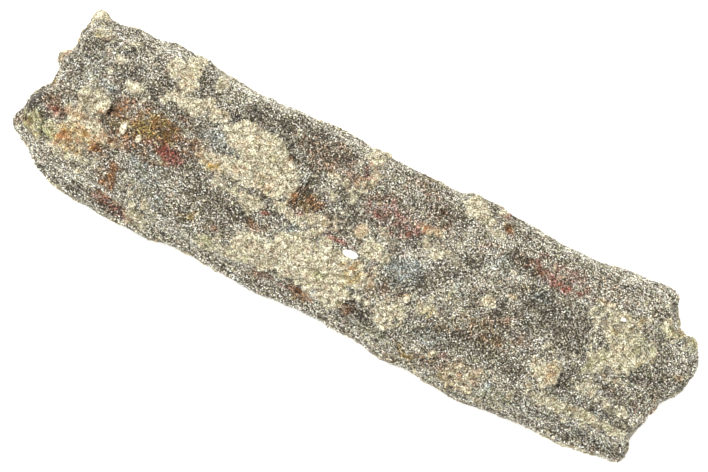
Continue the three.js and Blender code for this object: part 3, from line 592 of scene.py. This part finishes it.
def makeStone(look):
    piece, points = remeshStone(look)
    high = smoothStep(points[:, 2], *look["top"])
    seen = asSeen(points)
    # the dark patches: darker stone, partly painted shade
    dark = patchAmount(seen, stainAndShadePatches["dark"], stainAndShadeLook["darkEdge"])
    crust, lump, crack = crustOn(points, seen, high, dark, crusting)
    paint(piece, "crust", crust)
    # painted shade: the crust's colour darkens near the cracks between its lumps
    paint(piece, "crack", crack * crust)
    stainAndShadeOver(piece, points, seen, high, stainAndShadeLook)

    smooth = patchAmount(seen, smoothPatches, look["smoothEdge"])
    flank = 1 - smoothStep(points[:, 2], *look["aboveFlank"])
    weathered = smoothStep(points[:, 2], *look["rubbed"])
    rough = weathered * (1 - look["flankCalm"] * flank) * (1 - look["smoothCalm"] * smooth)
    pitted = ragged(points, *look["holeNoise"]) + look["holesInDark"] * dark
    holes = look["holes"] * smoothStep(pitted, *look["holesTake"])
    raised = patchAmount(seen, knobs, look["reliefEdge"]) * high / look["fullHeight"]
    sunk = patchAmount(seen, hollows, look["reliefEdge"]) * high / look["fullHeight"]
    groups = {
        "weathered": rough * (1 - look["crustCalm"] * crust),
        "crusted": crust * rough * (look["crustFoot"] + look["crustLump"] * lump),
        "layered": weathered * flank,
        "knobbed": raised,
        "sunk": np.maximum(holes * rough, sunk),
    }
    paint(piece, "bare", 1 - weathered)
    paint(piece, "flank", flank)
    paint(piece, "smooth", smooth)
    for name, weights in groups.items():
        group = piece.vertex_groups.new(name=name)
        for index, weight in enumerate(weights):
            group.add([index], float(weight), "REPLACE")
    relief = look["fullHeight"] * mm
    shapeWith(piece, "DISPLACE", strength=relief, mid_level=0, vertex_group="knobbed")
    shapeWith(piece, "DISPLACE", strength=look["crustRise"], mid_level=look["crustLevel"],
              vertex_group="crusted")
    roughen(piece, look["layers"], "layered", "CLOUDS", seed=15)
    roughen(piece, look["chips"], "weathered", "VORONOI", seed=7)
    roughen(piece, look["grain"], "weathered", "CLOUDS", seed=3, noise_type="HARD_NOISE")
    roughen(piece, look["pits"], "weathered", "CLOUDS", seed=5)
    shapeWith(piece, "DISPLACE", strength=-relief, mid_level=0, vertex_group="sunk")
    places = readPlaces(piece.data.vertices)
    places[:, 2] = np.maximum(places[:, 2], 0)  # nothing reaches below the floor
    piece.data.vertices.foreach_set("co", places.ravel())
    piece.data.update()
    piece.vertex_groups.clear()
    pick(piece)
    bpy.ops.object.shade_smooth()
    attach(piece, "root")
    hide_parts("petrified_wood")
    print("stone shaped")
    return piece


# the grains are small solids, scattered on the stone by geometry nodes and made real
druse = {
    "strips": 5,  # pieces side by side, each as long as the stone
    "spacing": 0.17 * mm,
    "perSquareMm": 19,
    "sideShare": 0.45,  # of that density on the flanks, where the grains are coarser
    "sideSize": 1.25,
    "smoothLoss": 0.8,  # what the smooth facet lacks of it
    "crustLoss": 0.97,  # and what the crust lacks
    "cuts": [  # sides, radius, length, breadth, lying down
        (3, 0.16 * mm, 0.64 * mm, 1, 1), (3, 0.16 * mm, 0.4 * mm, 0.9, 0.3),
        (3, 0.15 * mm, 0.52 * mm, 1, 0.9), (3, 0.16 * mm, 0.36 * mm, 1, 0),
        (3, 0.18 * mm, 0.44 * mm, 0.8, 0.6), (3, 0.13 * mm, 0.8 * mm, 1, 1)],
    "sink": 0.08 * mm,
    "size": (0.65, 1.3),
    "tilt": math.radians(38),
}
beads = {
    "strips": 2,
    "spacing": 0.28 * mm,
    "perSquareMm": 8.6,
    "sideShare": 0.5,
    "sideSize": 1.3,
    "smoothLoss": 0.8,
    "cuts": 4,
    "radius": 0.3 * mm,
    "uneven": 0.07 * mm,
    "flat": 0.62,
    "size": (0.6, 1.3),
    "tilt": math.radians(42),
}


def shelfFor(name):  # a collection for the shapes that are scattered
    shelf = bpy.data.collections.new(name)
    bpy.context.scene.collection.children.link(shelf)
    return shelf


def keepAside(shelf, shape):
    for holder in shape.users_collection:
        holder.objects.unlink(shape)
    shelf.objects.link(shape)


def growCrystals(look):
    shelf = shelfFor("crystalShapes")
    for number, (sides, radius, length, breadth, lying) in enumerate(look["cuts"]):
        bpy.ops.mesh.primitive_cone_add(vertices=sides, radius1=radius, radius2=0, depth=length)
        crystal = bpy.context.object
        crystal.name = f"crystal{number}"
        editAll()
        bpy.ops.transform.resize(value=(1, breadth, 1), center_override=(0, 0, 0))
        bpy.ops.transform.rotate(value=lying * math.pi / 2, orient_axis="Y", center_override=(0, 0, 0))
        rise = (1 - lying) * length / 2 + lying * radius / 2 - look["sink"]
        bpy.ops.transform.translate(value=(0, 0, rise))
        endEdit()
        keepAside(shelf, crystal)
    return shelf


def growBeads(look):
    shelf = shelfFor("beadShapes")
    for number in range(look["cuts"]):
        bpy.ops.mesh.primitive_uv_sphere_add(segments=4, ring_count=2, radius=look["radius"])
        bead = bpy.context.object
        bead.name = f"bead{number}"
        editAll()
        bpy.ops.transform.vertex_random(offset=look["uneven"], seed=number + 1)
        bpy.ops.transform.resize(value=(1, 1, look["flat"]), center_override=(0, 0, 0))
        endEdit()
        keepAside(shelf, bead)
    return shelf


def oneOf(sheet, least, most, seed):
    return sheet.node("FunctionNodeRandomValue", inputs={2: least, 3: most, "Seed": seed}, out=1)


def scatter(name, shapes, look, share):
    # share: from the crust mask to the share of the full density at each place
    tree = bpy.data.node_groups.new(name, "GeometryNodeTree")
    tree.interface.new_socket("Geometry", in_out="INPUT", socket_type="NodeSocketGeometry")
    tree.interface.new_socket("Geometry", in_out="OUTPUT", socket_type="NodeSocketGeometry")
    sheet = Wire(tree)
    ground = sheet.node("NodeGroupInput")
    crust, bare, flank, smooth = [
        sheet.node("GeometryNodeInputNamedAttribute", inputs={"Name": mask})
        for mask in ("crust", "bare", "flank", "smooth")]
    density = share(crust) * (1 - bare) * (1 - look["smoothLoss"] * smooth)
    density = density * (1 - (1 - look["sideShare"]) * flank)
    places = sheet.node("GeometryNodeDistributePointsOnFaces", {"distribute_method": "POISSON"}, {
        "Mesh": ground, "Distance Min": look["spacing"], "Density Max": look["perSquareMm"] / mm ** 2,
        "Density Factor": density, "Seed": 4})
    upright = Wire(tree, places.socket.node.outputs["Rotation"])
    tilt = look["tilt"]
    lean = sheet.node("FunctionNodeRandomValue", {"data_type": "FLOAT_VECTOR"},
                      {0: (-tilt, -tilt, -math.pi), 1: (tilt, tilt, math.pi), "Seed": 1})
    lean = sheet.node("FunctionNodeEulerToRotation", inputs={"Euler": lean})
    turned = sheet.node("FunctionNodeRotateRotation", {"rotation_space": "LOCAL"},
                        {"Rotation": upright, "Rotate By": lean})
    size = oneOf(sheet, *look["size"], seed=2) * (1 + (look["sideSize"] - 1) * flank)
    shape = sheet.node("GeometryNodeCollectionInfo", inputs={
        "Collection": shapes, "Separate Children": True, "Reset Children": True})
    grains = sheet.node("GeometryNodeInstanceOnPoints", inputs={
        "Points": places, "Instance": shape, "Pick Instance": True, "Rotation": turned, "Scale": size})
    roll = oneOf(sheet, 0.0, 1.0, seed=3)
    index = sheet.node("GeometryNodeInputIndex")
    for kind, mark, value in (("FLOAT", "shade", roll), ("INT", "grain", index)):
        grains = sheet.node("GeometryNodeStoreNamedAttribute", {"data_type": kind, "domain": "INSTANCE"},
                            {"Geometry": grains, "Name": mark, "Value": value})
    real = sheet.node("GeometryNodeRealizeInstances", inputs={"Geometry": grains})
    sheet.node("NodeGroupOutput", inputs={"Geometry": real})
    return tree


cellCorners = [(0.15, 0.15), (0.85, 0.15), (0.5, 0.85)]  # where a face's corners lie in a cell of the map


def mapGrains(piece):
    # one small cell of the map for each grain, so that a grain keeps its own colour when it is baked
    mesh = piece.data
    grain = np.unique(readWhole(mesh.attributes["grain"].data, "value"), return_inverse=True)[1]
    cell = grain[readWhole(mesh.loops, "vertex_index")]
    starts = np.repeat(readWhole(mesh.polygons, "loop_start"), readWhole(mesh.polygons, "loop_total"))
    turn = np.arange(len(cell)) - starts  # which corner of its face
    across = math.ceil(math.sqrt(grain.max() + 1))
    inCell = np.array(cellCorners)[turn % len(cellCorners)]
    places = (np.stack([cell % across, cell // across], 1) + inCell) / across
    for layer in list(mesh.uv_layers):
        mesh.uv_layers.remove(layer)
    mesh.uv_layers.new(name="OFBake").uv.foreach_set("vector", places.astype(np.float32).ravel())


def coat(name, ground, tree, look, material):
    across = readPlaces(ground.data.polygons, "center")[:, 1]
    edges = np.quantile(across, np.linspace(0, 1, look["strips"] + 1))
    edges[0], edges[-1] = -1, 1
    for strip in range(look["strips"]):
        piece = copyOf(ground, f"{name}{strip + 1}")
        piece.data.polygons.foreach_set("select", (across < edges[strip]) | (across >= edges[strip + 1]))
        bpy.ops.object.mode_set(mode="EDIT")
        bpy.ops.mesh.select_mode(type="FACE")
        bpy.ops.mesh.delete(type="FACE")
        endEdit()
        shapeWith(piece, "NODES", node_group=tree)
        mapGrains(piece)
        coverWith(piece, material)
        bpy.ops.object.shade_flat()
        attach(piece, "root")
        print(piece.name, len(piece.data.polygons), "faces")


flakes = [  # along, across, half length, half width, half height in mm, turn in degrees
    (-0.3, -3.85, 2.1, 1.05, 1, 4), (68, 12.2, 0.8, 0.5, 0.5, 10), (33.4, 9.1, 0.7, 0.25, 0.3, 18)]
nubs = [(-65.1, -1.1, 0.95, 1.8, 0.9, 8), (-60.6, -1.8, 0.8, 1.1, 0.7, 0), (-83.3, 21.3, 1, 1.1, 0.7, 0),
        (-73.5, 14, 0.8, 0.6, 0.5, -20), (8.9, -12.8, 0.8, 0.7, 0.6, 0), (17.3, -7.7, 0.9, 0.85, 0.7, 0),
        (6.4, -12.6, 0.7, 0.6, 0.6, 0), (-66.9, 9.3, 1.4, 0.8, 0.6, -10)]
bedding = {
    "uneven": 0.22 * mm,
    "seed": 3,
    "proud": 0.3,  # how far a chip's middle stands above the ground, in half heights
    "above": 1,  # where the search for the ground starts
}


def setFlakes(name, ground, places, material):
    # the larger chips, each bedded in the surface below it
    made = []
    aim = Vector(studio["aim"])
    for number, (along, across, length, width, height, turn) in enumerate(places):
        flat = aim.xy + (Vector((along, across)) * mm - aim.xy) / crownReach
        spot = ground.ray_cast((flat.x, flat.y, bedding["above"]), (0, 0, -1))[1]
        bpy.ops.mesh.primitive_ico_sphere_add(subdivisions=2, radius=1 * mm, location=(0, 0, 0))
        flake = bpy.context.object
        editAll()
        bpy.ops.transform.vertex_random(offset=bedding["uneven"], seed=number + bedding["seed"])
        bpy.ops.transform.resize(value=(length, width, height), center_override=(0, 0, 0))
        bpy.ops.transform.rotate(value=math.radians(-turn), orient_axis="Z", center_override=(0, 0, 0))
        bpy.ops.transform.translate(value=(spot.x, spot.y, spot.z + bedding["proud"] * height * mm))
        endEdit()
        bpy.ops.object.shade_flat()
        made.append(flake)
    pick(*made)
    bpy.ops.object.join()
    piece = bpy.context.object
    piece.name = name
    coverWith(piece, material)
    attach(piece, "root")
    print(name, "set:", len(places))


tints = {  # what each stain multiplies a grain's colour by, and how fully
    "rust": (srgb(220, 158, 98), 0.9),
    "red": (srgb(216, 120, 104), 0.9),
    "ochre": (srgb(226, 196, 106), 0.9),
    "peach": (srgb(252, 216, 184), 0.8),
    "blue": (srgb(214, 226, 236), 0.9),
    "green": (srgb(216, 222, 190), 0.9),
}
moods = [  # faint tints that drift over all, each with its seed
    (srgb(236, 205, 196), 3), (srgb(226, 232, 196), 17), (srgb(210, 216, 232), 31)]
pattern = {  # sizes, and the values of a noise between which a thing comes in
    "stainPull": 1.7,
    "blotchSize": 1.1 * mm,
    "blotchFrom": 0.3,
    "blotchPull": 2.2,
    "blotchSeed": 5,
    "speckSize": 0.23 * mm,
    "speckTakes": (0.36, 0.49),
    "clotSize": 1.7 * mm,
    "seamTakes": (0.02, 0.07),
    "breakSize": 0.9 * mm,
    "breakTakes": (0.42, 0.55),
    # the colour of the painted shade in the seams between clots
    "seamShade": srgb(146, 128, 97),
    # the colour of the painted shade in the crust's cracks
    "crack": srgb(134, 118, 92),
    "moodSize": 1.6 * mm,
    "moodTakes": (0.5, 0.72),
    "moodShare": 0.5,
}


def attribute(sheet, name):
    return sheet.node("ShaderNodeAttribute", {"attribute_name": name}, out=2)


def mix(sheet, share, first, second, blend="MIX"):
    return sheet.node("ShaderNodeMix", {"data_type": "RGBA", "blend_type": blend},
                      {0: share, 6: first, 7: second}, out=2)


def ownPlaces(sheet):  # the object's own coordinates
    return sheet.node("ShaderNodeTexCoord", out=3)


def clouds(sheet, size, detail, seed=None):
    settings, moved = ({}, {}) if seed is None else ({"noise_dimensions": "4D"}, {"W": seed})
    return sheet.node("ShaderNodeTexNoise", settings,
                      {"Vector": ownPlaces(sheet), "Scale": 1 / size, "Detail": detail, **moved})


def between(sheet, value, span, ends=(0, 1)):
    return sheet.node("ShaderNodeMapRange", inputs={
        "Value": value, "From Min": span[0], "From Max": span[1], "To Min": ends[0], "To Max": ends[1]})


def ramp(sheet, stops, value):
    return sheet.node("ShaderNodeValToRGB", {"stops": stops}, {"Fac": value})


def stained(sheet, colour):
    # a stain takes where it is stronger than a patchy noise
    for number, (kind, (tint, strength)) in enumerate(tints.items()):
        blotch = clouds(sheet, pattern["blotchSize"], 1, pattern["blotchSeed"] + number)
        held = (blotch - pattern["blotchFrom"]) * pattern["blotchPull"]
        took = attribute(sheet, kind) * pattern["stainPull"] - held
        took = sheet.node("ShaderNodeClamp", inputs={0: took})
        colour = mix(sheet, took * strength, colour, tint, "MULTIPLY")
    return colour


def speckleLightAndShade(sheet, colour, low, high):
    # painted facet light and painted shade, as fine as the grains' own facets: mostly painted light, with
    # narrow dark and browner gaps of painted shade
    share = between(sheet, clouds(sheet, pattern["speckSize"], 0), pattern["speckTakes"])
    return mix(sheet, 1, colour, mix(sheet, share, low, high), "MULTIPLY")


def shadeClotSeams(sheet, colour):
    # the crust is small clots; a painted shade darkens the seam around each, broken here and there
    edge = sheet.node("ShaderNodeTexVoronoi", {"feature": "DISTANCE_TO_EDGE"},
                      {"Vector": ownPlaces(sheet), "Scale": 1 / pattern["clotSize"]})
    share = between(sheet, edge, pattern["seamTakes"], ends=(1, 0))
    kept = between(sheet, clouds(sheet, pattern["breakSize"], 1), pattern["breakTakes"])
    return mix(sheet, share * kept * attribute(sheet, "crust"), colour, pattern["seamShade"], "MULTIPLY")


def moody(sheet, colour):
    for tint, seed in moods:
        share = between(sheet, clouds(sheet, pattern["moodSize"], 1, seed), pattern["moodTakes"])
        colour = mix(sheet, share * pattern["moodShare"], colour, tint, "MULTIPLY")
    return colour


def newMaterial(name, roughness):
    material = bpy.data.materials.new(name)
    material.use_nodes = True
    tree = material.node_tree
    shader = tree.nodes["Principled BSDF"]
    shader.inputs["Roughness"].default_value = roughness
    return material, Wire(tree), shader


def feed(sheet, wire, shader, name):
    sheet.tree.links.new(wire.socket, shader.inputs[name])


quartzGrains = {
    "greys": [(0, srgb(42, 35, 23)), (0.17, srgb(108, 98, 77)), (0.38, srgb(174, 167, 145)),
              (0.7, srgb(222, 217, 201)), (1, srgb(246, 244, 237))],
    "creams": [(0, srgb(140, 132, 108)), (0.3, srgb(198, 191, 166)), (1, srgb(240, 236, 220))],
    "gapShade": (0.034, 0.029, 0.018, 1),
    "facetLight": (1.51, 1.54, 1.53, 1),
    "roughness": 0.45,
}
crustGrains = {
    "greys": [(0, srgb(120, 106, 84)), (0.5, srgb(190, 180, 156)), (1, srgb(232, 226, 206))],
    "creams": [(0, srgb(160, 151, 124)), (0.25, srgb(204, 197, 172)), (1, srgb(230, 226, 208))],
    "gapShade": (0.1, 0.086, 0.052, 1),
    "facetLight": (1.52, 1.54, 1.51, 1),
    "roughness": 0.8,
}
dulling = {  # the power that a grain's shade is raised to, so how many grains are dark
    "mean": 0.85,
    "dark": 1.6,
    "pale": 0.7,
    "drift": 3,
    "driftSize": 3.2 * mm,
    "driftFrom": 0.5,
    "least": 0.25,
}


def grainFinish(name, look):
    material, sheet, shader = newMaterial(name, look["roughness"])
    shade = attribute(sheet, "shade")
    # the dark patches, partly painted shade, make more grains dark
    power = dulling["mean"] + dulling["dark"] * attribute(sheet, "dark")
    power = power - dulling["pale"] * attribute(sheet, "pale")
    power = power + dulling["drift"] * (clouds(sheet, dulling["driftSize"], 3) - dulling["driftFrom"])
    grey = ramp(sheet, look["greys"], shade ** sheet.maths("MAXIMUM", power, dulling["least"]))
    cream = ramp(sheet, look["creams"], shade)
    colour = mix(sheet, attribute(sheet, "crust"), grey, cream)
    # painted shade in the cracks between the crust's lumps
    colour = mix(sheet, attribute(sheet, "crack"), colour, pattern["crack"], "MULTIPLY")
    colour = stained(sheet, shadeClotSeams(sheet, colour))
    colour = speckleLightAndShade(sheet, colour, look["gapShade"], look["facetLight"])
    feed(sheet, moody(sheet, colour), shader, "Base Color")
    return material


cleanQuartz = {
    "clouds": [(0.35, srgb(214, 208, 188)), (0.5, srgb(244, 242, 234)), (0.65, srgb(255, 255, 252))],
    "size": 0.5 * mm,
    "roughness": 0.3,
}
clottedCrust = {
    "clouds": [(0.36, srgb(132, 120, 92)), (0.5, srgb(206, 196, 166)), (0.64, srgb(238, 232, 212))],
    "size": 0.5 * mm,
    "roughness": 0.7,
}


def chipFinish(name, look):
    material, sheet, shader = newMaterial(name, look["roughness"])
    feed(sheet, ramp(sheet, look["clouds"], clouds(sheet, look["size"], 3)), shader, "Base Color")
    return material


bareStone = {
    "speck": 0.4 * mm,
    # the stone between the grains; its darkest tones are partly painted shade in the gaps
    "matrix": [(0.36, srgb(22, 16, 9)), (0.5, srgb(60, 50, 35)), (0.66, srgb(150, 139, 115))],
    "chalk": [(0.36, srgb(96, 82, 56)), (0.45, srgb(200, 191, 161)), (0.6, srgb(226, 220, 196))],
    "rubbed": [(0.36, srgb(98, 89, 69)), (0.5, srgb(140, 131, 109)), (0.66, srgb(182, 174, 152))],
    "darkPull": 0.07,
    "gapShade": (0.12, 0.105, 0.076, 1),
    "facetLight": (1.1, 1.12, 1.12, 1),
    "bump": 0.8,
    "bumpDepth": 0.2 * mm,
    "roughness": 0.75,
}


def stoneFinish(name, look):
    material, sheet, shader = newMaterial(name, look["roughness"])
    speck = clouds(sheet, look["speck"], 3)
    # darker in the dark patches, which are partly painted shade
    matrix = ramp(sheet, look["matrix"], speck - look["darkPull"] * attribute(sheet, "dark"))
    rubbed = ramp(sheet, look["rubbed"], speck)
    matrix = mix(sheet, attribute(sheet, "bare"), matrix, rubbed)  # the underside is paler
    colour = mix(sheet, attribute(sheet, "crust"), matrix, ramp(sheet, look["chalk"], speck))
    colour = stained(sheet, shadeClotSeams(sheet, colour))
    colour = speckleLightAndShade(sheet, colour, look["gapShade"], look["facetLight"])
    feed(sheet, moody(sheet, colour), shader, "Base Color")
    bump = sheet.node("ShaderNodeBump", inputs={
        "Strength": look["bump"], "Distance": look["bumpDepth"], "Height": speck})
    feed(sheet, bump, shader, "Normal")
    return material


setStudio(studio)
limbStone = makeStone(stone)
coverWith(limbStone, stoneFinish("bareStone", bareStone))
quartz = grainFinish("quartzGrains", quartzGrains)
chalky = grainFinish("crustGrains", crustGrains)
crystalShapes = growCrystals(druse)
beadShapes = growBeads(beads)
beadTree = scatter("beadScatter", beadShapes, beads, lambda crust: crust)
coat("crustBeads", limbStone, beadTree, beads, chalky)
crystalTree = scatter("crystalScatter", crystalShapes, druse, lambda crust: 1 - druse["crustLoss"] * crust)
coat("quartzCoat", limbStone, crystalTree, druse, quartz)
setFlakes("quartzFlakes", limbStone, flakes, chipFinish("cleanQuartz", cleanQuartz))
setFlakes("crustNubs", limbStone, nubs, chipFinish("clottedCrust", clottedCrust))
for shelf in (crystalShapes, beadShapes):
    for shape in list(shelf.objects):
        bpy.data.objects.remove(shape)
    bpy.data.collections.remove(shelf)
